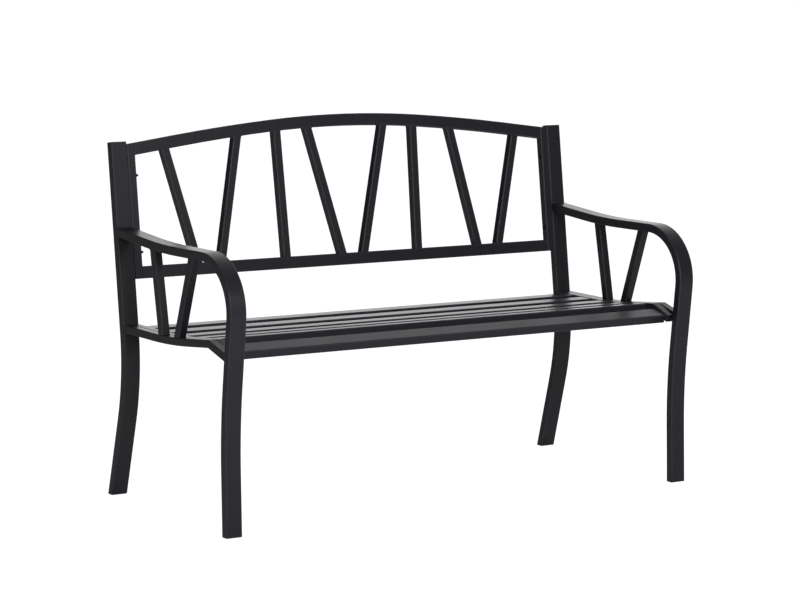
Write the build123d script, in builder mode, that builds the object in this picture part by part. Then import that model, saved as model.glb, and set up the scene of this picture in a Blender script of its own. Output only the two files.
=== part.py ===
from build123d import *
import os
from math import cos, radians, sin, tan

# A metal garden bench. Two side frames of bent tube are welded up by themselves, and a slatted seat and an
# arched back are bolted between them. X runs along the bench, the front faces -Y and the feet stand on Z = 0.
# Lengths are in millimetres and angles in degrees.

# The whole bench
overall_length = 1270.0  # over the outer faces of the side frames
overall_depth = 570.8  # from the front of the arm's bend to the back of the arch's crown
arm_height = 611.6  # top of the arm where it bends down into the front leg
post_height = 817.3  # front edge of the rear post's top
seat_height = 404.3  # top of the seat rails where they run level

# Flat tube of the side frames and of the slats
frame_width = 40.0
frame_depth = 20.0
frame_wall = 1.2
frame_corner = 1.5  # flat cut across each outer edge

# Square tube of the back bars, stiles, balusters and seat support
square_size = 20.0
square_wall = 1.0
square_corner = 1.5

# Tube of the seat rails and of the back's two rails
seat_rail_height = 18.0
back_rail_height = 28.5

# Rear post: a straight leaning back rest, a bend, and a straight leg that runs backward to the floor
back_lean_angle = 8.44
post_straight_length = 433.0
post_bend_radius = 529.6
post_bend_angle = 22.61

# Arm and front leg, one tube: the arm dips, then turns over the front into the leg, which bows forward
arm_bend_radius = 117.5  # to the middle of the tube
arm_front_angle = 1.04
arm_front_length = 115.1
arm_curve_radius = 1510.0
arm_curve_angle = 5.37
leg_upper_angle = 5.31
leg_upper_length = 143.7
leg_bow_radius = 1321.0
leg_bow_angle = 8.28

# Side seat rail and balusters of the side frame
rail_inset = 2.0  # they stand in from the frame's outer face
seat_curve_place = 65.3  # where the seat starts to rise toward the front
seat_curve_radius = 1459.0
seat_rise_angle = 6.2
seat_rise_length = 92.2
side_rail_angle = 15.7
rear_baluster_place = 50.0  # measured half way up
rear_baluster_angle = 12.33
front_baluster_place = -77.4
front_baluster_angle = -18.52

# Seat: the end rails run beside the side frames' rails and drop more steeply to their cut front ends
end_rail_angle = 20.5
end_rail_drop_length = 60.0
end_rail_fit = 2.0  # between its square rear end and the leaning post
slat_count = 5
rear_slat_place = 56.7  # from the middle of the post, along the rail
last_slat_place = 42.2  # from the rail's bend, back along the rail
slat_sink = 1.0  # below the rail's top
front_slat_place = 34.1  # from the rail's bend, down the drop
front_slat_sink = 5.8
front_slat_angle = 16.5
support_fit = 0.15  # under the slats, whose flat undersides meet a curved tube

# Back: its heights are measured along the leaning back from the top of the posts
crown_height = 46.6
crown_radius = 2600.0
crown_angle = 4.54
shoulder_radius = 4970.0
arch_angle = 7.5
back_panel_height = 314.8  # down to the bottom rail's underside
stile_fit = 0.5
bar_top_shares = (0.870, 0.525, 0.336, 0.179)  # of half the opening, level with the post tops
bar_foot_shares = (0.738, 0.639, 0.325, 0.048)  # of half the opening, at the bottom rail

# Fasteners: M6 button-head bolts, washers, thin nuts and rivet nuts
bolt_diameter = 6.0
bolt_hole_fit = 0.6
thread_fit = 0.1
head_diameter = 10.5
head_height = 3.3
head_taper_angle = 30.0
round_sides = 16
socket_size = 4.0
socket_depth = 2.0
washer_diameter = 12.0
washer_thickness = 1.6
nut_size = 10.0
nut_height = 3.2
rivet_diameter = 9.0
rivet_length = 14.0
rivet_flange = 12.0
rivet_flange_thickness = 0.8
rivet_fit = 0.5
back_bolt_length = 35.0
back_bolt_places = (78.0, 254.0)  # down the post from its top
access_diameter = 14.0  # holes in the posts' outer walls, through which the back bolts are put in
seat_bolt_length = 35.0

# Plastic ends
cap_thickness = 2.0
cap_edge = 0.8
foot_thickness = 3.0
foot_edge = 1.0
spigot_length = 20.0
spigot_fit = 0.2

cut_overrun = 20.0  # how far a blank runs past the cut that trims it

# Places that follow from the sizes above
frame_x = (overall_length - frame_width) / 2
post_inner_x = overall_length / 2 - frame_width
rail_x = overall_length / 2 - rail_inset - square_size / 2
end_rail_x = rail_x - square_size
slat_end_x = end_rail_x - square_size / 2
stile_x = post_inner_x - stile_fit - square_size / 2
opening_x = stile_x - square_size / 2
crown_back = (crown_height - square_corner) * sin(radians(back_lean_angle))
crown_back += frame_depth / 2 * cos(radians(back_lean_angle))
post_top_y = overall_depth / 2 - crown_back
post_top_z = post_height - frame_depth / 2 * sin(radians(back_lean_angle))
rail_z = seat_height - seat_rail_height / 2
rail_start_y = post_top_y - (post_top_z - rail_z) * tan(radians(back_lean_angle))
bolt_hole = bolt_diameter + bolt_hole_fit
seat_bolt_gaps = (0, slat_count - 2)  # the rearmost and the foremost gap between two slats

frame_tube = (frame_width, frame_depth, frame_wall, frame_corner)
square_tube = (square_size, square_size, square_wall, square_corner)
seat_rail_tube = (square_size, seat_rail_height, square_wall, square_corner)
back_rail_tube = (square_size, back_rail_height, square_wall, square_corner)

up_the_back = Vector(0, sin(radians(back_lean_angle)), cos(radians(back_lean_angle)))
back_front = Vector(0, -cos(radians(back_lean_angle)), sin(radians(back_lean_angle)))
back_plane = Plane(origin=(0, post_top_y, post_top_z), x_dir=(1, 0, 0), z_dir=back_front)
back_plane = back_plane.offset((frame_depth - square_size) / 2)
along_x = Vector(1, 0, 0)
side_drop_line = Vector(0, -cos(radians(side_rail_angle)), -sin(radians(side_rail_angle)))
end_drop_line = Vector(0, -cos(radians(end_rail_angle)), -sin(radians(end_rail_angle)))
sides = {"left": -1, "right": 1}


def solid_section(plane, tube):
    """The outline of a tube, with its first size along the plane's x and its edges eased."""
    width, depth, wall, corner = tube
    with BuildSketch(plane) as section:
        Rectangle(width, depth)
        chamfer(section.vertices(), corner)
    return section.sketch


def tube_section(plane, tube):
    """The hollow section of a tube."""
    width, depth, wall, corner = tube
    with BuildSketch(plane) as section:
        Rectangle(width, depth)
        chamfer(section.vertices(), corner)
        Rectangle(width - 2 * wall, depth - 2 * wall, mode=Mode.SUBTRACT)
    return section.sketch


def start_plane(path, across):
    """The plane across a path's first point, with its x along the given direction."""
    return Plane(origin=path @ 0, x_dir=across, z_dir=path % 0)


def tube_along(path, tube, across=along_x):
    """A tube bent or mitred along a path."""
    sweep(tube_section(start_plane(path, across), tube), path=path, transition=Transition.RIGHT)


def trim_to(path, tube, across=along_x):
    """Saw the piece off flat against the faces of the tube that follows the path."""
    with BuildSketch(start_plane(path, across)) as blade:
        Rectangle(tube[0] + cut_overrun, tube[1])
    sweep(blade.sketch, path=path, transition=Transition.RIGHT, mode=Mode.SUBTRACT)


def finish_piece(piece, name):
    piece.part.label = name
    export_step(piece.part, f"parts/{name}.step")


def post_path(x, top_gap=0.0):
    """Middle of the rear post, from its top down through the floor."""
    top_y = post_top_y - top_gap * sin(radians(back_lean_angle))
    top_z = post_top_z - top_gap * cos(radians(back_lean_angle))
    with BuildLine(Plane.YZ.offset(x)) as path:
        rest = PolarLine((top_y, top_z), post_straight_length - top_gap, angle=-90 - back_lean_angle)
        bend = JernArc(rest @ 1, rest % 1, post_bend_radius, post_bend_angle)
        PolarLine(bend @ 1, Plane.XY.offset(-cut_overrun), direction=bend % 1)
    return path.wire()


def arm_path(x):
    """Middle of the arm-and-leg tube, from the rear post over the front bend and through the floor."""
    bend_reach = arm_bend_radius + frame_depth / 2
    centre = (bend_reach - overall_depth / 2, arm_height - bend_reach)
    with BuildLine(Plane.YZ.offset(x)) as path:
        bend_angle = 90 + arm_front_angle + leg_upper_angle
        over = CenterArc(centre, arm_bend_radius, 90 - arm_front_angle, bend_angle)
        rest = PolarLine(over @ 0, arm_front_length, direction=(over % 0) * -1)
        dip = JernArc(rest @ 1, rest % 1, arm_curve_radius, arm_curve_angle)
        IntersectingLine(dip @ 1, dip % 1, other=post_path(x))
        shin = PolarLine(over @ 1, leg_upper_length, direction=over % 1)
        bow = JernArc(shin @ 1, shin % 1, leg_bow_radius, -leg_bow_angle)
        PolarLine(bow @ 1, Plane.XY.offset(-cut_overrun), direction=bow % 1)
    return path.wire()


def seat_path(x, sink=0.0, rear_gap=0.0, overrun=0.0):
    """Middle of a seat rail from the rear to its bend: level, then an even curve up to a straight rise."""
    height = rail_z - sink
    with BuildLine(Plane.YZ.offset(x)) as path:
        level = Line((rail_start_y - rear_gap, height), (seat_curve_place, height))
        curve = JernArc(level @ 1, level % 1, seat_curve_radius + sink, -seat_rise_angle)
        PolarLine(curve @ 1, seat_rise_length + overrun, direction=curve % 1)
    return path.wire()


def side_rail_path(x):
    """Middle of the side seat rail, from the post to the front leg."""
    back = seat_path(x)
    with BuildLine() as path:
        add(back)
        IntersectingLine(back @ 1, side_drop_line, other=arm_path(x))
    return path.wire()


def end_rail_path(x):
    """Middle of the seat's end rail, from just in front of the post to its cut front end."""
    back = seat_path(x, rear_gap=frame_depth / 2 / cos(radians(back_lean_angle)) + end_rail_fit)
    with BuildLine() as path:
        add(back)
        Line(back @ 1, back @ 1 + end_drop_line * end_rail_drop_length)
    return path.wire()


def baluster_path(x, place, lean):
    """Middle of a baluster, from the middle of the seat rail to the middle of the arm."""
    half_way = Vector(x, place, (arm_height + seat_height) / 2)
    upward = Vector(0, sin(radians(lean)), cos(radians(lean)))
    with BuildLine() as path:
        lower = IntersectingLine(half_way, upward * -1, other=side_rail_path(x), mode=Mode.PRIVATE)
        upper = IntersectingLine(half_way, upward, other=arm_path(x), mode=Mode.PRIVATE)
        Line(lower @ 1, upper @ 1)
    return path.wire()


def arch_path():
    """Middle of the arched top rail: a crown curve, easier shoulders, then straight ends that fall away."""
    with BuildLine(back_plane) as path:
        crown = JernArc((0, crown_height - back_rail_height / 2), (1, 0), crown_radius, -crown_angle)
        shoulder = JernArc(crown @ 1, crown % 1, shoulder_radius, crown_angle - arch_angle)
        PolarLine(shoulder @ 1, Plane.YZ.offset(post_inner_x), direction=shoulder % 1)
        mirror(about=Plane.YZ)
    return path.wire()


def foot_rail_path():
    """Middle of the back's straight bottom rail, between the stiles."""
    height = back_rail_height / 2 - back_panel_height
    with BuildLine(back_plane) as path:
        Line((-opening_x, height), (opening_x, height))
    return path.wire()


def bar_path(side, top_share, foot_share):
    """Middle of a back bar, from the middle of the bottom rail to the middle of the arch."""
    foot_height = back_rail_height / 2 - back_panel_height
    foot = back_plane.from_local_coords((side * foot_share * opening_x, foot_height))
    top = back_plane.from_local_coords((side * top_share * opening_x, 0))
    with BuildLine() as path:
        IntersectingLine(foot, top - foot, other=arch_path())
    return path.wire()


def stile_path(side):
    """Middle of a back stile, from the bottom rail's underside to above the arch."""
    with BuildLine(back_plane) as path:
        Line((side * stile_x, -back_panel_height), (side * stile_x, crown_height))
    return path.wire()


def arch_top_plane(side):
    """The top face of the arch's straight end, centred over the stile, with z up."""
    arch = arch_path()
    end = (side + 1) / 2
    slope = arch % end
    upward = back_front.cross(slope)
    above_end = arch @ end + upward * (back_rail_height / 2)
    over_stile = above_end + slope * ((side * stile_x - above_end.X) / slope.X)
    return Plane(origin=over_stile, x_dir=slope, z_dir=upward)


def slat_place(index):
    """How far along the seat rail the middle of a slat lies, the slats being evenly spread."""
    spread = seat_path(0).length - rear_slat_place - last_slat_place
    return rear_slat_place + spread * index / (slat_count - 1)


def slat_plane(index):
    """The middle of a slat, with x across it toward the front and z along the bench."""
    path = seat_path(0)
    place = slat_place(index)
    forward = path.tangent_at(place, PositionMode.LENGTH)
    down = along_x.cross(forward)
    sink = slat_sink + (frame_depth - seat_rail_height) / 2
    centre = path.position_at(place, PositionMode.LENGTH) + down * sink
    return Plane(origin=centre, x_dir=forward, z_dir=along_x)


def front_slat_plane():
    """The middle of the sloping front slat, with x down its slope and z along the bench."""
    slope = Vector(0, -cos(radians(front_slat_angle)), -sin(radians(front_slat_angle)))
    down = along_x.cross(end_drop_line)
    centre = seat_path(0) @ 1 + end_drop_line * front_slat_place + down * front_slat_sink
    return Plane(origin=centre, x_dir=slope, z_dir=along_x)


def end_plate(plane, tube):
    """A plate welded into a tube's open end, flush with the plane across that end."""
    width, depth, wall, corner = tube
    extrude(solid_section(plane, (width - wall, depth - wall, wall, corner / 2)), amount=-wall)


def outward_plane(path, end):
    """The plane across one end of a path, with z pointing out of the tube."""
    outward = path % end * (2 * end - 1)
    return Plane(origin=path @ end, x_dir=along_x, z_dir=outward)


def cross_hole(place, diameter, length):
    """A hole along X, to half its length on each side of the place."""
    with BuildSketch(Plane(origin=place, x_dir=(0, 1, 0), z_dir=along_x)) as hole:
        RegularPolygon(diameter / 2, round_sides, major_radius=False)
    extrude(hole.sketch, amount=length / 2, both=True, mode=Mode.SUBTRACT)


def back_bolt_point(x, place):
    """Where a back bolt crosses the middle of the post."""
    return Vector(x, post_top_y, post_top_z) - up_the_back * place


def seat_bolt_point(x, gap):
    """Where a seat bolt crosses the middle of a rail: half way between two slats."""
    place = (slat_place(gap) + slat_place(gap + 1)) / 2
    return seat_path(x).position_at(place, PositionMode.LENGTH)


def fastener_places(points_at, places, x, outward):
    """Locations for fasteners on both sides: z points out of the bench, or into it when outward is -1."""
    return [Plane(origin=points_at(side * x, place), x_dir=(0, 1, 0), z_dir=(side * outward, 0, 0)).location
            for side in sides.values() for place in places]


def finish_group(parts, name):
    """One node that holds several separate solids."""
    with BuildPart() as group:
        add(parts)
    finish_piece(group, name)


os.makedirs("parts", exist_ok=True)

# Side frames: the rear post, the arm-and-leg tube, the seat rail and two balusters are welded together
for side_name, side in sides.items():
    with BuildPart() as rear_post:
        tube_along(post_path(side * frame_x, cap_thickness), frame_tube)
        split(bisect_by=Plane.XY.offset(foot_thickness), keep=Keep.TOP)
        for bolt_place in back_bolt_places:
            cross_hole(back_bolt_point(side * post_inner_x, bolt_place), bolt_hole, frame_width)
            cross_hole(back_bolt_point(side * overall_length / 2, bolt_place), access_diameter, frame_width)
    finish_piece(rear_post, f"{side_name}_rear_post")

    with BuildPart() as arm_front_leg:
        tube_along(arm_path(side * frame_x), frame_tube)
        trim_to(post_path(side * frame_x), frame_tube)
        split(bisect_by=Plane.XY.offset(foot_thickness), keep=Keep.TOP)
    finish_piece(arm_front_leg, f"{side_name}_arm_front_leg")

    with BuildPart() as seat_rail:
        tube_along(side_rail_path(side * rail_x), seat_rail_tube)
        trim_to(post_path(side * frame_x), frame_tube)
        trim_to(arm_path(side * frame_x), frame_tube)
        for gap in seat_bolt_gaps:
            cross_hole(seat_bolt_point(side * (rail_x - square_size / 2), gap), rivet_diameter, square_size)
    finish_piece(seat_rail, f"{side_name}_seat_rail")

    balusters = {
        "rear": (rear_baluster_place, rear_baluster_angle),
        "front": (front_baluster_place, front_baluster_angle),
    }
    for baluster_name, (baluster_place, baluster_angle) in balusters.items():
        with BuildPart() as baluster:
            tube_along(baluster_path(side * rail_x, baluster_place, baluster_angle), square_tube)
            trim_to(side_rail_path(side * rail_x), seat_rail_tube)
            trim_to(arm_path(side * frame_x), frame_tube)
        finish_piece(baluster, f"{side_name}_{baluster_name}_baluster")

# Back: an arched rail, a straight rail and two stiles round eight bars, all welded flush at the front
with BuildPart() as back_top_rail:
    tube_along(arch_path(), back_rail_tube, back_front)
    for side in sides.values():
        split(bisect_by=Plane.YZ.offset(side * opening_x), keep=Keep.BOTTOM if side > 0 else Keep.TOP)
finish_piece(back_top_rail, "back_top_rail")

with BuildPart() as back_bottom_rail:
    tube_along(foot_rail_path(), back_rail_tube, back_front)
finish_piece(back_bottom_rail, "back_bottom_rail")

for side_name, side in sides.items():
    with BuildPart() as back_stile:
        tube_along(stile_path(side), square_tube)
        split(bisect_by=arch_top_plane(side), keep=Keep.BOTTOM)
        end_plate(arch_top_plane(side), square_tube)
        end_plate(outward_plane(stile_path(side), 0), square_tube)
        for bolt_place in back_bolt_places:
            cross_hole(back_bolt_point(side * stile_x, bolt_place), bolt_hole, square_size + cut_overrun)
    finish_piece(back_stile, f"{side_name}_back_stile")

    for number, (top_share, foot_share) in enumerate(zip(bar_top_shares, bar_foot_shares), start=1):
        with BuildPart() as back_bar:
            tube_along(bar_path(side, top_share, foot_share), square_tube)
            trim_to(arch_path(), back_rail_tube, back_front)
            trim_to(foot_rail_path(), back_rail_tube, back_front)
        finish_piece(back_bar, f"{side_name}_back_bar_{number}")

# Seat: slats between two end rails, with one support under them, welded into a panel
for index in range(slat_count):
    with BuildPart() as seat_slat:
        extrude(tube_section(slat_plane(index), frame_tube), amount=slat_end_x, both=True)
    finish_piece(seat_slat, f"seat_slat_{index + 1}")

with BuildPart() as seat_front_slat:
    extrude(tube_section(front_slat_plane(), frame_tube), amount=slat_end_x, both=True)
finish_piece(seat_front_slat, "seat_front_slat")

for side_name, side in sides.items():
    end_rail = end_rail_path(side * end_rail_x)
    with BuildPart() as seat_end_rail:
        tube_along(end_rail, seat_rail_tube)
        end_plate(outward_plane(end_rail, 0), seat_rail_tube)
        end_plate(outward_plane(end_rail, 1), seat_rail_tube)
        for gap in seat_bolt_gaps:
            cross_hole(seat_bolt_point(side * end_rail_x, gap), bolt_hole, square_size + cut_overrun)
            cross_hole(seat_bolt_point(side * (end_rail_x + square_size / 2), gap),
                       rivet_flange + rivet_fit, square_size)
    finish_piece(seat_end_rail, f"{side_name}_seat_end_rail")

support_sink = slat_sink + frame_depth - seat_rail_height / 2 + support_fit + square_size / 2
support_path = seat_path(0, support_sink, rear_slat_place - frame_width / 2, cut_overrun)
front_slat = front_slat_plane()
support_front = Plane(origin=front_slat.origin - front_slat.x_dir * (frame_width / 2), x_dir=along_x,
                      z_dir=front_slat.x_dir)
with BuildPart() as seat_support:
    tube_along(support_path, square_tube)
    split(bisect_by=support_front, keep=Keep.BOTTOM)
    end_plate(outward_plane(support_path, 0), square_tube)
finish_piece(seat_support, "seat_support")

# Fasteners, each drawn once with its axis on Z and the face that it bears with on Z = 0. Small round forms
# have a few flat sides.
def bolt(length):
    """A button-head bolt with a hexagon socket, whose shank runs down from the head."""
    with BuildPart() as whole:
        with BuildSketch():
            RegularPolygon(head_diameter / 2, round_sides)
        extrude(amount=head_height, taper=head_taper_angle)
        with BuildSketch(Plane.XY.offset(head_height)):
            RegularPolygon(socket_size / 2, 6, major_radius=False)
        extrude(amount=-socket_depth, mode=Mode.SUBTRACT)
        with BuildSketch(Plane.XY.offset(-length)):
            RegularPolygon(bolt_diameter / 2, round_sides)
        extrude(amount=length)
    return whole.part


def ring(outer, bore, height):
    """A flat washer or flange, standing on Z = 0."""
    with BuildPart() as whole:
        with BuildSketch():
            RegularPolygon(outer / 2, round_sides)
            RegularPolygon(bore / 2, round_sides, major_radius=False, mode=Mode.SUBTRACT)
        extrude(amount=height)
    return whole.part


with BuildPart() as thin_nut:
    with BuildSketch():
        RegularPolygon(nut_size / 2, 6, major_radius=False)
        RegularPolygon((bolt_diameter + thread_fit) / 2, round_sides, major_radius=False, mode=Mode.SUBTRACT)
    extrude(amount=nut_height)

washer = ring(washer_diameter, bolt_hole, washer_thickness)
with BuildPart() as rivet_nut:
    add(ring(rivet_flange, bolt_diameter + thread_fit, rivet_flange_thickness))
    with Locations((0, 0, -rivet_length)):
        add(ring(rivet_diameter, bolt_diameter + thread_fit, rivet_length))

back_seat_x = post_inner_x + frame_wall
back_head_x = back_seat_x + washer_thickness
seat_head_x = slat_end_x - washer_thickness
fasteners = {
    "back_bolts": (bolt(back_bolt_length), back_bolt_point, back_bolt_places, back_head_x, 1),
    "back_bolt_washers": (washer, back_bolt_point, back_bolt_places, back_seat_x, 1),
    "back_bolt_nuts": (thin_nut.part, back_bolt_point, back_bolt_places, opening_x, -1),
    "seat_bolts": (bolt(seat_bolt_length), seat_bolt_point, seat_bolt_gaps, seat_head_x, -1),
    "seat_bolt_washers": (washer, seat_bolt_point, seat_bolt_gaps, slat_end_x, -1),
    "seat_rivet_nuts": (rivet_nut.part, seat_bolt_point, seat_bolt_gaps, rail_x - square_size / 2, -1),
}
for group_name, (fastener, points_at, places, x, outward) in fasteners.items():
    with BuildPart() as group:
        with Locations(fastener_places(points_at, places, x, outward)):
            add(fastener)
    finish_piece(group, group_name)

# Plastic ends: a cap pressed into the top of each post, and a foot pressed into the bottom of each leg
spigot_inset = frame_wall + spigot_fit
bore_tube = (frame_width - 2 * spigot_inset, frame_depth - 2 * spigot_inset, frame_wall, spigot_fit)


def post_cap(x):
    """A flat cap with a spigot down into the tube."""
    mouth = Plane(origin=post_path(x, cap_thickness) @ 0, x_dir=along_x, z_dir=up_the_back)
    with BuildPart() as cap:
        lid = extrude(solid_section(mouth, frame_tube), amount=cap_thickness)
        chamfer(lid.faces().sort_by(Axis(mouth.origin, up_the_back))[-1].edges(), cap_edge)
        extrude(solid_section(mouth, bore_tube), amount=-spigot_length)
    return cap.part


def foot_plug(path):
    """A foot that carries on the leg's slope to the floor, with a spigot up into the tube."""
    sole = Plane(origin=path @ 1, x_dir=along_x, z_dir=path % 1 * -1)
    with BuildPart() as foot:
        extrude(solid_section(sole, frame_tube), amount=2 * cut_overrun)
        split(bisect_by=Plane.XY, keep=Keep.TOP)
        split(bisect_by=Plane.XY.offset(foot_thickness), keep=Keep.BOTTOM)
        chamfer(foot.edges().group_by(Axis.Z)[0], foot_edge)
    with BuildPart() as spigot:
        extrude(solid_section(sole, bore_tube), amount=cut_overrun + foot_thickness + spigot_length)
        split(bisect_by=Plane.XY.offset(foot_thickness), keep=Keep.TOP)
    with BuildPart() as whole:
        add(foot.part)
        add(spigot.part)
    return whole.part


finish_group([post_cap(side * frame_x) for side in sides.values()], "post_caps")
finish_group([foot_plug(arm_path(side * frame_x)) for side in sides.values()], "front_foot_plugs")
finish_group([foot_plug(post_path(side * frame_x)) for side in sides.values()], "rear_foot_plugs")
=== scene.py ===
from math import cos, pi, radians, sin

import bmesh
import bpy
from mathutils import Matrix, Vector
from mathutils.bvhtree import BVHTree


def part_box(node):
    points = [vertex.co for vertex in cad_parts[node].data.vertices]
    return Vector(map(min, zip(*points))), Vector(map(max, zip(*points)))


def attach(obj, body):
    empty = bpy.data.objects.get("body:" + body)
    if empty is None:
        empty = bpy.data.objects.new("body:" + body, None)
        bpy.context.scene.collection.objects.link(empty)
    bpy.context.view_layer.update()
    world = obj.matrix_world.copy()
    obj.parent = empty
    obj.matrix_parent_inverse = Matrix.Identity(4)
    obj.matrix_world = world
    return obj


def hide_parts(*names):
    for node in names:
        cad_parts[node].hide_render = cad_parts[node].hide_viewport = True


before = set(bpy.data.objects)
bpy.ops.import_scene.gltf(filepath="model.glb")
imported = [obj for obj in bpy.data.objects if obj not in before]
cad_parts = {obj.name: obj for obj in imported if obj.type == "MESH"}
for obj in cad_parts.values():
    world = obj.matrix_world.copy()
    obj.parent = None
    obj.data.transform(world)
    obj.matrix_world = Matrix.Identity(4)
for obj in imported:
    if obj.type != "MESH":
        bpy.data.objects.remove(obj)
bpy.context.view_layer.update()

# Side frames. Each is a rear post, an arm that runs on down as the front leg, a seat rail and two
# balusters, all of thin-walled mild steel tube. The tubes are bent and cut to fit, welded in a jig,
# blasted and powder coated.
millimetre = 0.001
sides_of_bench = ("left", "right")
side_frame_tubes = ("rear_post", "arm_front_leg", "seat_rail", "rear_baluster", "front_baluster")
side_frame_pieces = [f"{side}_{tube}" for side in sides_of_bench for tube in side_frame_tubes]


def srgb(hex_colour):
    """The linear colour of a colour written as sRGB hex, by the curve of the sRGB standard."""
    shares = [int(hex_colour[place:place + 2], 16) / 255 for place in (1, 3, 5)]
    linear = [share / 12.92 if share <= 0.04045 else ((share + 0.055) / 1.055) ** 2.4 for share in shares]
    return linear + [1.0]


def new_finish(name):
    """An empty material."""
    finish = bpy.data.materials.new(name)
    finish.use_nodes = True
    finish.node_tree.nodes.clear()
    return finish


def add_node(finish, kind, settings=None, links=None):
    """A shader node with its settings and input values. Links name an input, or its number, and give
    an output."""
    node = finish.node_tree.nodes.new(kind)
    for name, value in (settings or {}).items():
        if isinstance(name, int) or name in node.inputs:
            node.inputs[name].default_value = value
        else:
            setattr(node, name, value)
    for name, output in (links or {}).items():
        finish.node_tree.links.new(output, node.inputs[name])
    return node


# Satin black powder coat: polyester powder baked on blasted steel. It gives a near-black with a soft
# sheen, the shallow pebbling known as orange peel, rounded edges, and a paler colour along those
# edges: partly the thinner film there, partly a painted highlight. The grain of the powder is drawn
# coarser than it is, so that it shows.
coat_black = "#2b2931"
# The paler edge colour: partly the thinner film at the edges, partly a painted highlight.
thin_film_and_edge_highlight_grey = "#565460"
coat_ior = 1.5
coat_smooth = 0.33
coat_rough = 0.39
coat_edge_radius = 2.0 * millimetre
edge_highlight_match = 0.93
orange_peel_size = 2.6 * millimetre
orange_peel_depth = 0.03 * millimetre
orange_peel_strength = 0.6
powder_grain_size = 0.5 * millimetre
noise_low = 0.3
noise_high = 0.7
bevel_samples = 6
mix_first_colour, mix_second_colour, mixed_colour = 6, 7, 2
powder_coat = new_finish("satin_black_powder_coat")
tube_place = add_node(powder_coat, "ShaderNodeTexCoord").outputs["Object"]
tube_surface = add_node(powder_coat, "ShaderNodeNewGeometry").outputs["Normal"]
soft_edge = add_node(powder_coat, "ShaderNodeBevel",
                     {"samples": bevel_samples, "Radius": coat_edge_radius}).outputs["Normal"]
# Edge mask: where the bevelled normal turns from the true one, the paler colour is laid on, partly as
# thinner film and partly as a painted highlight.
edge_match = add_node(powder_coat, "ShaderNodeVectorMath", {"operation": "DOT_PRODUCT"},
                      {0: soft_edge, 1: tube_surface}).outputs["Value"]
edge_highlight_share = add_node(powder_coat, "ShaderNodeMapRange",
                      {"From Min": 1.0, "From Max": edge_highlight_match, "To Min": 0.0, "To Max": 1.0},
                      {"Value": edge_match})
coat_and_edge_highlight = add_node(powder_coat, "ShaderNodeMix",
                {"data_type": "RGBA", mix_first_colour: srgb(coat_black),
                 mix_second_colour: srgb(thin_film_and_edge_highlight_grey)},
                {"Factor": edge_highlight_share.outputs["Result"]})
grain = add_node(powder_coat, "ShaderNodeTexNoise", {"Scale": 1 / powder_grain_size, "Detail": 2.0},
                 {"Vector": tube_place})
coat_sheen = add_node(powder_coat, "ShaderNodeMapRange",
                      {"From Min": noise_low, "From Max": noise_high,
                       "To Min": coat_smooth, "To Max": coat_rough},
                      {"Value": grain.outputs["Fac"]})
peel = add_node(powder_coat, "ShaderNodeTexNoise", {"Scale": 1 / orange_peel_size, "Detail": 2.0},
                {"Vector": tube_place})
pebbling = add_node(powder_coat, "ShaderNodeBump",
                    {"Strength": orange_peel_strength, "Distance": orange_peel_depth},
                    {"Height": peel.outputs["Fac"], "Normal": soft_edge})
coated_steel = add_node(powder_coat, "ShaderNodeBsdfPrincipled", {"IOR": coat_ior},
                        {"Base Color": coat_and_edge_highlight.outputs[mixed_colour],
                         "Roughness": coat_sheen.outputs["Result"],
                         "Normal": pebbling.outputs["Normal"]})
add_node(powder_coat, "ShaderNodeOutputMaterial", links={"Surface": coated_steel.outputs["BSDF"]})


def give_finish(names, finish):
    """Puts one finish on the named pieces."""
    for name in names:
        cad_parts[name].data.materials.clear()
        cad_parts[name].data.materials.append(finish)


give_finish(side_frame_pieces, powder_coat)

# Back panel. Two stiles and two rails frame four bars on each side of the middle, which lean in pairs.
# The square and flat tubes are welded into one panel, and the panel is powder coated before it is
# bolted to the posts.
back_rails = ["back_top_rail", "back_bottom_rail"]
bars_a_side = range(1, 5)
back_panel_pieces = list(back_rails)
for side in sides_of_bench:
    back_panel_pieces.append(f"{side}_back_stile")
    back_panel_pieces += [f"{side}_back_bar_{number}" for number in bars_a_side]
give_finish(back_panel_pieces, powder_coat)

# Seat panel. Five slats and a sloping front slat run between two end rails, with one support under
# their middle. They are the same steel tube, welded into a panel, coated, and bolted to the side
# frames.
slats = [f"seat_slat_{number}" for number in range(1, 6)] + ["seat_front_slat"]
give_finish(slats + ["seat_support", "left_seat_end_rail", "right_seat_end_rail"], powder_coat)

# Welds of the three parts. Each tube's cut end is joined by a bead of mild steel, laid in short
# overlapping puddles in the corner between the two tubes, brushed and coated over. Flush faces are
# ground flat and show none.
weld_leg = 1.5 * millimetre
weld_rise = 0.3 * millimetre
puddle_length = 2.4 * millimetre
puddle_height_share = 0.09
weld_end_share = 0.5
weld_step = 0.8 * millimetre
weld_sides = 7
carrier_wall_play = weld_leg / 3
joint_fit = 0.3 * millimetre
corner_merge = 0.01 * millimetre
least_stretch = 1e-9


def merged_tube(name):
    """A copy of a tube whose faces share their corners."""
    tube = bmesh.new()
    tube.from_mesh(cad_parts[name].data)
    bmesh.ops.remove_doubles(tube, verts=tube.verts, dist=corner_merge)
    tube.normal_update()
    return tube


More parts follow.
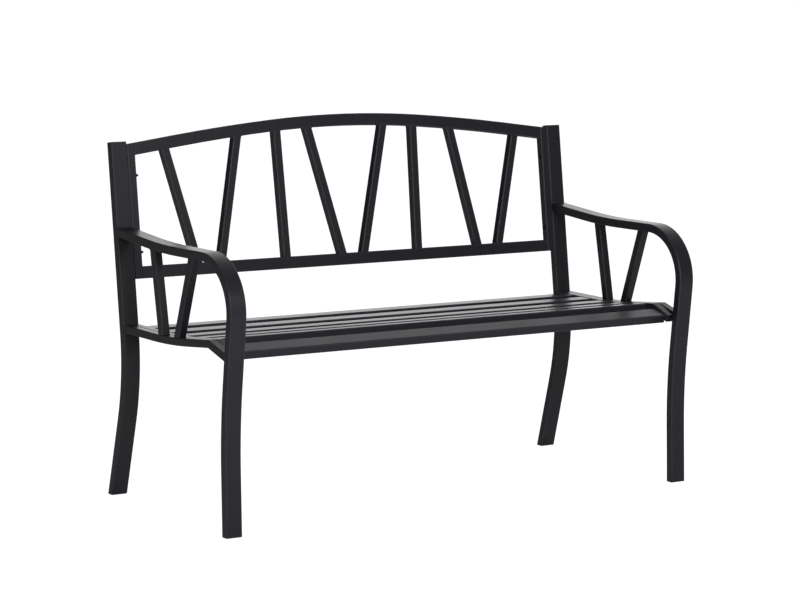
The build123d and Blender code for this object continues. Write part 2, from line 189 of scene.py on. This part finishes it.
def weld_lines(ended, carrier):
    """Lines along the foot of one tube's end, where the other tube's wall runs on past it.
    Each point of a line comes with the direction that halves the corner."""
    tube = merged_tube(ended)
    wall = BVHTree.FromBMesh(merged_tube(carrier))
    foot = {corner for corner in tube.verts if wall.find_nearest(corner.co)[3] < joint_fit}
    end_faces = {face for face in tube.faces if all(corner in foot for corner in face.verts)}
    if not end_faces:
        return []
    middle = sum((corner.co for corner in foot), Vector()) / len(foot)
    runs = {}
    for edge in tube.edges:
        walls = [face for face in edge.link_faces if face not in end_faces]
        if len(walls) != 1 or len(edge.link_faces) != 2:
            continue
        centre = (edge.verts[0].co + edge.verts[1].co) / 2
        outward = walls[0].normal
        if outward.dot(centre - middle) <= 0:
            continue
        _, wall_normal, _, wall_gap = wall.find_nearest(centre + outward * weld_leg)
        if wall_gap > carrier_wall_play:
            continue
        for first, second in (edge.verts, reversed(edge.verts)):
            runs.setdefault(first, []).append((second, (outward + wall_normal).normalized()))
    lines = []
    while runs:
        start = next((corner for corner in runs if len(runs[corner]) == 1), next(iter(runs)))
        line, here, came_from = [], start, None
        while here in runs:
            ways = runs.pop(here)
            halving = sum((way[1] for way in ways), Vector()).normalized()
            line.append((here.co.copy(), halving))
            onward = [way[0] for way in ways if way[0] is not came_from]
            came_from = here
            here = next((corner for corner in onward if corner in runs), None)
        if len(ways) == 2 and len(line) > 2:
            line.append(line[0])
        lines.append(line)
    return lines


def join_rings(base, rings, sides, faces):
    """Adds the faces between rings of corners, from the corner numbered base on, and closes both ends."""
    for ring in range(rings - 1):
        for side in range(sides):
            here = base + ring * sides + side
            beside = base + ring * sides + (side + 1) % sides
            faces.append((here, beside, beside + sides, here + sides))
    faces.append([base + side for side in reversed(range(sides))])
    faces.append([base + (rings - 1) * sides + side for side in range(sides)])


def weld_bead(line, corners, faces):
    """Adds the rippled bead along one line."""
    lengths = [0.0]
    for (first, _), (second, _) in zip(line, line[1:]):
        lengths.append(lengths[-1] + (second - first).length)
    rings = max(2, round(lengths[-1] / weld_step)) + 1
    places = []
    stretch = 0
    for ring in range(rings):
        along = lengths[-1] * ring / (rings - 1)
        while stretch < len(line) - 2 and along > lengths[stretch + 1]:
            stretch += 1
        stretch_length = max(lengths[stretch + 1] - lengths[stretch], least_stretch)
        share = (along - lengths[stretch]) / stretch_length
        place = line[stretch][0].lerp(line[stretch + 1][0], share)
        halving = line[stretch][1].lerp(line[stretch + 1][1], share).normalized()
        places.append((along, place, halving))
    base = len(corners)
    for ring, (along, place, halving) in enumerate(places):
        ahead = places[min(ring + 1, rings - 1)][1] - places[max(ring - 1, 0)][1]
        across = ahead.cross(halving).normalized()
        reach = weld_leg * (1 + puddle_height_share * cos(2 * pi * along / puddle_length))
        if ring in (0, rings - 1):
            reach *= weld_end_share
        for side in range(weld_sides):
            turn = 2 * pi * side / weld_sides
            corners.append(place + halving * (weld_rise + reach * cos(turn)) + across * reach * sin(turn))
    join_rings(base, rings, weld_sides, faces)


def bench_piece(name, corners, faces, finish):
    """A smooth piece of the bench, from its corners and faces."""
    shape = bpy.data.meshes.new(name)
    shape.from_pydata(corners, [], faces)
    shape.polygons.foreach_set("use_smooth", [True] * len(shape.polygons))
    shape.materials.append(finish)
    piece = bpy.data.objects.new(name, shape)
    bpy.context.scene.collection.objects.link(piece)
    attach(piece, "root")
    return piece


def weld_group(name, joints):
    """All the beads of one welded part, as one piece. A joint is an ended tube and its carrier."""
    corners, faces = [], []
    for ended, carrier in joints:
        for line in weld_lines(ended, carrier):
            weld_bead(line, corners, faces)
    return bench_piece(name, corners, faces, powder_coat)


side_joints = []
for side in sides_of_bench:
    post, leg, rail = f"{side}_rear_post", f"{side}_arm_front_leg", f"{side}_seat_rail"
    side_joints += [(leg, post), (rail, post), (rail, leg)]
    for baluster in (f"{side}_rear_baluster", f"{side}_front_baluster"):
        side_joints += [(baluster, rail), (baluster, leg)]
weld_group("side_frame_welds", side_joints)

back_joints = []
for side in sides_of_bench:
    back_joints += [(rail, f"{side}_back_stile") for rail in back_rails]
    back_joints += [(f"{side}_back_bar_{number}", rail) for number in bars_a_side for rail in back_rails]
weld_group("back_panel_welds", back_joints)

seat_joints = [(slat, f"{side}_seat_end_rail") for side in sides_of_bench for slat in slats]
seat_joints.append(("seat_support", "seat_front_slat"))
weld_group("seat_panel_welds", seat_joints)

# Fasteners. M6 button-head bolts, washers, thin nuts and rivet nuts of medium carbon steel hold the
# three welded parts together. The bolts are rolled, with a 1 mm thread, and go in after the coating.
# Black oxide: a bath turns the steel's skin to magnetite and oil seals it, so the eye sees a deep
# blue-black metal with a low gleam and fine turning marks, which are drawn coarser than they are.
oxide_black = "#36373b"
oil_black = "#28282b"
oxide_metal_share = 0.7
oxide_rough = 0.42
oiled_smooth = 0.3
oil_patch_size = 3.0 * millimetre
turning_mark_size = 0.25 * millimetre
turning_mark_depth = 0.01 * millimetre
turning_mark_strength = 0.25
black_oxide = new_finish("black_oxide_steel")
bolt_place = add_node(black_oxide, "ShaderNodeTexCoord").outputs["Object"]
oil = add_node(black_oxide, "ShaderNodeTexNoise", {"Scale": 1 / oil_patch_size, "Detail": 3.0},
               {"Vector": bolt_place})
skin = add_node(black_oxide, "ShaderNodeMix",
                {"data_type": "RGBA", mix_first_colour: srgb(oxide_black),
                 mix_second_colour: srgb(oil_black)},
                {"Factor": oil.outputs["Fac"]})
oil_gleam = add_node(black_oxide, "ShaderNodeMapRange",
                     {"From Min": noise_low, "From Max": noise_high,
                      "To Min": oxide_rough, "To Max": oiled_smooth},
                     {"Value": oil.outputs["Fac"]})
turning = add_node(black_oxide, "ShaderNodeTexNoise", {"Scale": 1 / turning_mark_size, "Detail": 1.0},
                   {"Vector": bolt_place})
marks = add_node(black_oxide, "ShaderNodeBump",
                 {"Strength": turning_mark_strength, "Distance": turning_mark_depth},
                 {"Height": turning.outputs["Fac"]})
oxide_steel = add_node(black_oxide, "ShaderNodeBsdfPrincipled", {"Metallic": oxide_metal_share},
                       {"Base Color": skin.outputs[mixed_colour],
                        "Roughness": oil_gleam.outputs["Result"],
                        "Normal": marks.outputs["Normal"]})
add_node(black_oxide, "ShaderNodeOutputMaterial", links={"Surface": oxide_steel.outputs["BSDF"]})
give_finish(["back_bolt_washers", "seat_bolts", "seat_bolt_washers", "seat_rivet_nuts"], black_oxide)

# Back bolts and their thin nuts. The bolts that show on the left stile end in a rolled thread with a
# nut on it. On the right stile they are put in from the inside, so that their low domed heads show,
# each with a hexagon socket.
bolt_radius = 3.0 * millimetre
thread_pitch = 1.0 * millimetre
thread_depth = 0.55 * millimetre
thread_rings_a_turn = 8
turn_steps = 24
bolt_stand_out = 8.2 * millimetre
head_radius = 5.25 * millimetre
head_rise = 3.3 * millimetre
# Shares of the head's rise and of its radius
dome_outline = ((0.0, 0.97), (0.15, 1.0), (0.4, 0.95), (0.65, 0.83), (0.85, 0.68), (0.97, 0.54))
socket_radius = 2.3 * millimetre
socket_depth = 2.0 * millimetre
socket_lip = 0.1 * millimetre
socket_rim_share = 1.04
socket_floor_share = 0.98
hexagon_half_turn = pi / 6
nut_sides = 6
nut_corner_radius = 5.77 * millimetre
nut_rise = 3.2 * millimetre
nut_chamfer = 0.5 * millimetre
nut_face_share = 0.93
nut_low, nut_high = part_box("back_bolt_nuts")
stile_face_x = nut_high[0]
post_inside_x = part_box("back_bolts")[1][0] - head_rise


def bolt_rows():
    """The depth and height of each row of back bolts, from the middles of their nuts."""
    rows = {}
    for corner in merged_tube("back_bolt_nuts").verts:
        rows.setdefault(corner.co.z > (nut_low[2] + nut_high[2]) / 2, []).append(corner.co)
    return [tuple((min(place[axis] for place in row) + max(place[axis] for place in row)) / 2
                  for axis in (1, 2)) for row in rows.values()]


def turned_corner(place, pointing, along, radius, turn):
    """A corner of a form that lies along X, at a distance along it and an angle round it."""
    return Vector((place[0] + pointing * along, place[1] + radius * cos(turn),
                   place[2] + pointing * radius * sin(turn)))


def turned_form(outline, place, pointing, sides, corners, faces):
    """A turned form along X, from an outline of distances along it and radii, closed at both ends."""
    base = len(corners)
    for along, radius in outline:
        for side in range(sides):
            corners.append(turned_corner(place, pointing, along, radius, 2 * pi * side / sides))
    join_rings(base, len(outline), sides, faces)


def rolled_thread(place, pointing, length, corners, faces):
    """A threaded shank: its wall rises to the crest and falls to the root once in each turn of the
    helix, and fades to the root at the end."""
    base = len(corners)
    rings = round(length / thread_pitch * thread_rings_a_turn)
    for ring in range(rings + 1):
        along = length * ring / rings
        fade = min(1.0, (length - along) / thread_pitch)
        for side in range(turn_steps):
            phase = (along / thread_pitch - side / turn_steps) % 1.0
            flank = abs(2 * phase - 1)
            radius = bolt_radius - thread_depth * max(flank, 1 - fade)
            corners.append(turned_corner(place, pointing, along, radius, 2 * pi * side / turn_steps))
    join_rings(base, rings + 1, turn_steps, faces)


def button_head(place, pointing, corners, faces):
    """A low dome with a hexagon socket, standing on the face that it bears on."""
    dome = [(rise * head_rise, width * head_radius) for rise, width in dome_outline]
    dome.append((head_rise, socket_radius * socket_rim_share))
    turned_form(dome, place, pointing, turn_steps, corners, faces)
    faces.pop()
    rim = len(corners) - turn_steps
    well = len(corners)
    for along, radius in ((head_rise - socket_lip, socket_radius),
                          (head_rise - socket_depth, socket_radius * socket_floor_share)):
        for side in range(turn_steps):
            turn = 2 * pi * side / turn_steps
            off_flat = turn % (2 * hexagon_half_turn) - hexagon_half_turn
            flat = cos(hexagon_half_turn) / cos(off_flat)
            corners.append(turned_corner(place, pointing, along, radius * flat, turn))
    for low, high in ((rim, well), (well, well + turn_steps)):
        for side in range(turn_steps):
            ahead = (side + 1) % turn_steps
            faces.append((low + side, low + ahead, high + ahead, high + side))
    faces.append([well + turn_steps + side for side in range(turn_steps)])


bolt_corners, bolt_faces = [], []
nut_corners, nut_faces = [], []
shank_outline = [(0.0, bolt_radius), (post_inside_x - stile_face_x, bolt_radius)]
nut_outline = [(0.0, nut_corner_radius * nut_face_share), (nut_chamfer, nut_corner_radius),
               (nut_rise - nut_chamfer, nut_corner_radius), (nut_rise, nut_corner_radius * nut_face_share)]
for row_y, row_z in bolt_rows():
    left_face = (-stile_face_x, row_y, row_z)
    right_face = (stile_face_x, row_y, row_z)
    left_head = (-post_inside_x, row_y, row_z)
    turned_form(shank_outline, left_head, 1, turn_steps, bolt_corners, bolt_faces)
    rolled_thread(left_face, 1, bolt_stand_out, bolt_corners, bolt_faces)
    button_head(left_head, -1, bolt_corners, bolt_faces)
    button_head(right_face, -1, bolt_corners, bolt_faces)
    turned_form(shank_outline, right_face, 1, turn_steps, bolt_corners, bolt_faces)
    rolled_thread((post_inside_x, row_y, row_z), 1, head_rise, bolt_corners, bolt_faces)
    for nut_place in (left_face, (post_inside_x - nut_rise, row_y, row_z)):
        turned_form(nut_outline, nut_place, 1, nut_sides, nut_corners, nut_faces)
back_bolts = bench_piece("back_bolt_set", bolt_corners, bolt_faces, black_oxide)
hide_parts("back_bolts")
back_nuts = bench_piece("back_bolt_nut_set", nut_corners, nut_faces, black_oxide)
back_nuts.data.polygons.foreach_set("use_smooth", [False] * len(back_nuts.data.polygons))
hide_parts("back_bolt_nuts")

# Plastic ends. The caps of the posts and the plugs of the feet are moulded in one shot and pressed
# into the tubes last, so that the cut ends neither rust nor scratch the ground.
# Black polyethylene: moulded against a spark-eroded tool, so it is a soft black with a fine, even
# grain, matched to the coat. The grain is drawn coarser than it is, so that it shows.
polyethylene_black = "#29282d"
scuffed_black = "#302f35"
polyethylene_ior = 1.51
polyethylene_smooth = 0.38
polyethylene_rough = 0.46
scuff_size = 9.0 * millimetre
tool_grain_size = 0.6 * millimetre
tool_grain_depth = 0.03 * millimetre
tool_grain_strength = 0.2
cap_edge_radius = 0.6 * millimetre
polyethylene = new_finish("moulded_black_polyethylene")
cap_place = add_node(polyethylene, "ShaderNodeTexCoord").outputs["Object"]
scuff = add_node(polyethylene, "ShaderNodeTexNoise", {"Scale": 1 / scuff_size, "Detail": 4.0},
                 {"Vector": cap_place})
cap_skin = add_node(polyethylene, "ShaderNodeMix",
                    {"data_type": "RGBA", mix_first_colour: srgb(polyethylene_black),
                     mix_second_colour: srgb(scuffed_black)},
                    {"Factor": scuff.outputs["Fac"]})
cap_sheen = add_node(polyethylene, "ShaderNodeMapRange",
                     {"From Min": noise_low, "From Max": noise_high,
                      "To Min": polyethylene_smooth, "To Max": polyethylene_rough},
                     {"Value": scuff.outputs["Fac"]})
tool_grain = add_node(polyethylene, "ShaderNodeTexNoise", {"Scale": 1 / tool_grain_size, "Detail": 1.0},
                      {"Vector": cap_place})
cap_edge = add_node(polyethylene, "ShaderNodeBevel",
                    {"samples": bevel_samples, "Radius": cap_edge_radius}).outputs["Normal"]
cap_grain = add_node(polyethylene, "ShaderNodeBump",
                     {"Strength": tool_grain_strength, "Distance": tool_grain_depth},
                     {"Height": tool_grain.outputs["Fac"], "Normal": cap_edge})
plastic = add_node(polyethylene, "ShaderNodeBsdfPrincipled", {"IOR": polyethylene_ior},
                   {"Base Color": cap_skin.outputs[mixed_colour],
                    "Roughness": cap_sheen.outputs["Result"],
                    "Normal": cap_grain.outputs["Normal"]})
add_node(polyethylene, "ShaderNodeOutputMaterial", links={"Surface": plastic.outputs["BSDF"]})
give_finish(["post_caps", "front_foot_plugs", "rear_foot_plugs"], polyethylene)

# Hole plugs. Each hole in a post's outer wall, through which a back bolt is tightened, is closed by a
# plug of the same polyethylene. It is pressed in until its shallow dome lies flush with the coated
# steel.
hole_radius = 7.0 * millimetre
plug_play = 0.05 * millimetre
plug_radius = hole_radius - plug_play
plug_depth = 5.0 * millimetre
plug_dome = 0.2 * millimetre
plug_lead_share = 0.9
plug_sides = 32
# Distances below the dome's top in shares of its rise, and shares of the plug's radius
plug_top_outline = ((1.6, 0.985), (1.0, 0.95), (0.45, 0.75), (0.12, 0.4), (0.0, 0.08))
plug_outline = [(0.0, plug_radius * plug_lead_share)]
plug_outline += [(plug_depth - plug_dome * below, plug_radius * width) for below, width in plug_top_outline]
post_face_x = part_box("right_rear_post")[1][0]
plug_corners, plug_faces = [], []
for row_y, row_z in bolt_rows():
    for pointing in (-1, 1):
        plug_foot = (pointing * (post_face_x - plug_depth), row_y, row_z)
        turned_form(plug_outline, plug_foot, pointing, plug_sides, plug_corners, plug_faces)
bench_piece("post_hole_plugs", plug_corners, plug_faces, polyethylene)

# Studio floor: painted white and wide enough to run out of sight. The camera sees it white, with the
# bench's shadow on it, and the gloss of the coat sees little of it. It is see-through from below, so
# that the underside can be looked at.
floor_reach = 60.0
floor_white = "#e7e7e7"
lamp_white = "#ffffff"
floor_glow_to_camera = 0.9
floor_glow_to_gloss = 0.04
floor_shape = bpy.data.meshes.new("studio_floor")
floor_shape.from_pydata([(-floor_reach, -floor_reach, 0), (floor_reach, -floor_reach, 0),
                         (floor_reach, floor_reach, 0), (-floor_reach, floor_reach, 0)],
                        [], [(0, 1, 2, 3)])
floor = bpy.data.objects.new("studio_floor", floor_shape)
bpy.context.scene.collection.objects.link(floor)
white_paint = new_finish("matt_white_floor_paint")
floor_ray = add_node(white_paint, "ShaderNodeLightPath")
gloss_glow = add_node(white_paint, "ShaderNodeMath", {"operation": "MULTIPLY", 1: floor_glow_to_gloss},
                      {0: floor_ray.outputs["Is Glossy Ray"]})
ray_glow = add_node(white_paint, "ShaderNodeMath",
                    {"operation": "MULTIPLY_ADD", 1: floor_glow_to_camera},
                    {0: floor_ray.outputs["Is Camera Ray"], 2: gloss_glow.outputs[0]})
floor_glow = add_node(white_paint, "ShaderNodeEmission", {"Color": srgb(lamp_white)},
                      {"Strength": ray_glow.outputs[0]})
matt_white = add_node(white_paint, "ShaderNodeBsdfDiffuse", {"Color": srgb(floor_white)})
floor_top = add_node(white_paint, "ShaderNodeAddShader",
                     links={0: floor_glow.outputs[0], 1: matt_white.outputs[0]})
floor_side = add_node(white_paint, "ShaderNodeNewGeometry")
see_through = add_node(white_paint, "ShaderNodeBsdfTransparent")
floor_sheet = add_node(white_paint, "ShaderNodeMixShader",
                       links={0: floor_side.outputs["Backfacing"], 1: floor_top.outputs[0],
                              2: see_through.outputs[0]})
add_node(white_paint, "ShaderNodeOutputMaterial", links={"Surface": floor_sheet.outputs[0]})
floor_shape.materials.append(white_paint)

# Studio surround: a lit white sweep low behind the bench and softer light from the other sides. The
# camera sees plain white, and the gloss of the coat sees the sweep and the dimmer room round it.
# Each side has the direction that it is brightest in, how narrow it is, and its strength.
surround_sides = {
    "sweep": ((0.549, 0.824, 0.139), 8.0, 1.72),
    "above_sweep": ((0.4, 0.6, 0.7), 4.0, 0.2),
    "front": ((0.3, -0.95, 0.1), 4.0, 0.11),
    "right": ((1.0, 0.25, 0.2), 6.0, 0.5),
    "ceiling": ((0.0, 0.1, 1.0), 4.0, 0.15),
}
white_to_camera = 1.0
mix_first_number, mix_second_number = 2, 3
surround = bpy.data.worlds.new("studio_surround")
bpy.context.scene.world = surround
surround.use_nodes = True
surround.node_tree.nodes.clear()
surround_ray = add_node(surround, "ShaderNodeLightPath")
surround_direction = add_node(surround, "ShaderNodeTexCoord").outputs["Generated"]


def lit_side(towards, narrowness, strength, before):
    """Adds the light of one side of the room, which fades away from its direction."""
    facing = add_node(surround, "ShaderNodeVectorMath",
                      {"operation": "DOT_PRODUCT", 1: Vector(towards).normalized()},
                      {0: surround_direction}).outputs["Value"]
    ahead = add_node(surround, "ShaderNodeMath", {"operation": "MAXIMUM", 1: 0.0}, {0: facing})
    patch = add_node(surround, "ShaderNodeMath", {"operation": "POWER", 1: narrowness},
                     {0: ahead.outputs[0]})
    links = {0: patch.outputs[0]} if before is None else {0: patch.outputs[0], 2: before}
    both = add_node(surround, "ShaderNodeMath", {"operation": "MULTIPLY_ADD", 1: strength, 2: 0.0}, links)
    return both.outputs[0]


surround_glow = None
for towards, narrowness, strength in surround_sides.values():
    surround_glow = lit_side(towards, narrowness, strength, surround_glow)
surround_light = add_node(surround, "ShaderNodeMix",
                          {"data_type": "FLOAT", mix_second_number: white_to_camera},
                          {"Factor": surround_ray.outputs["Is Camera Ray"],
                           mix_first_number: surround_glow})
surround_air = add_node(surround, "ShaderNodeBackground", {"Color": srgb(lamp_white)},
                        {"Strength": surround_light.outputs[0]})
add_node(surround, "ShaderNodeOutputWorld", links={"Surface": surround_air.outputs[0]})

# Studio lamps: three square soft boxes in front of the bench, to the left, high up and to the right.
# Each has its place and width in metres and its power in watts, and faces the middle of the bench.
soft_boxes = {
    "left_soft_box": ((-1.4, -4.4, 1.2), 1.0, 25.0),
    "high_soft_box": ((-0.7, -3.4, 2.4), 0.8, 30.0),
    "right_soft_box": ((0.5, -4.6, 2.2), 1.0, 21.0),
}
lamp_target = Vector((0, 0, 0.5))
for name, (place, width, power) in soft_boxes.items():
    lamp = bpy.data.lights.new(name, "AREA")
    lamp.size = width
    lamp.energy = power
    stand = bpy.data.objects.new(name, lamp)
    bpy.context.scene.collection.objects.link(stand)
    stand.location = place
    stand.rotation_euler = (lamp_target - Vector(place)).to_track_quat("-Z", "Y").to_euler()

# Camera, standing where the photographer stood, a little above the bench's back and to its left. Its
# place, its turn and its long lens come from the outlines of the bench in the photograph.
camera_place = Vector((-3.70629, -5.5427, 1.38509))
camera_yaw = radians(33.6883)
camera_pitch = radians(-8.0196)
camera_roll = radians(-0.8952)
lens_length = 129.63
film_width = 36
sight_reach = 200
forward = Vector((sin(camera_yaw) * cos(camera_pitch), cos(camera_yaw) * cos(camera_pitch),
                  sin(camera_pitch)))
level = Vector((cos(camera_yaw), -sin(camera_yaw), 0))
below = forward.cross(level)
right = cos(camera_roll) * level + sin(camera_roll) * below
down = cos(camera_roll) * below - sin(camera_roll) * level
lens = bpy.data.cameras.new("camera")
lens.lens = lens_length
lens.sensor_width = film_width
lens.clip_end = sight_reach
camera = bpy.data.objects.new("camera", lens)
bpy.context.scene.collection.objects.link(camera)
camera_stand = Matrix((right, -down, -forward)).transposed().to_4x4()
camera_stand.translation = camera_place
camera.matrix_world = camera_stand
bpy.context.scene.camera = camera
bpy.context.scene.view_settings.view_transform = "Standard"
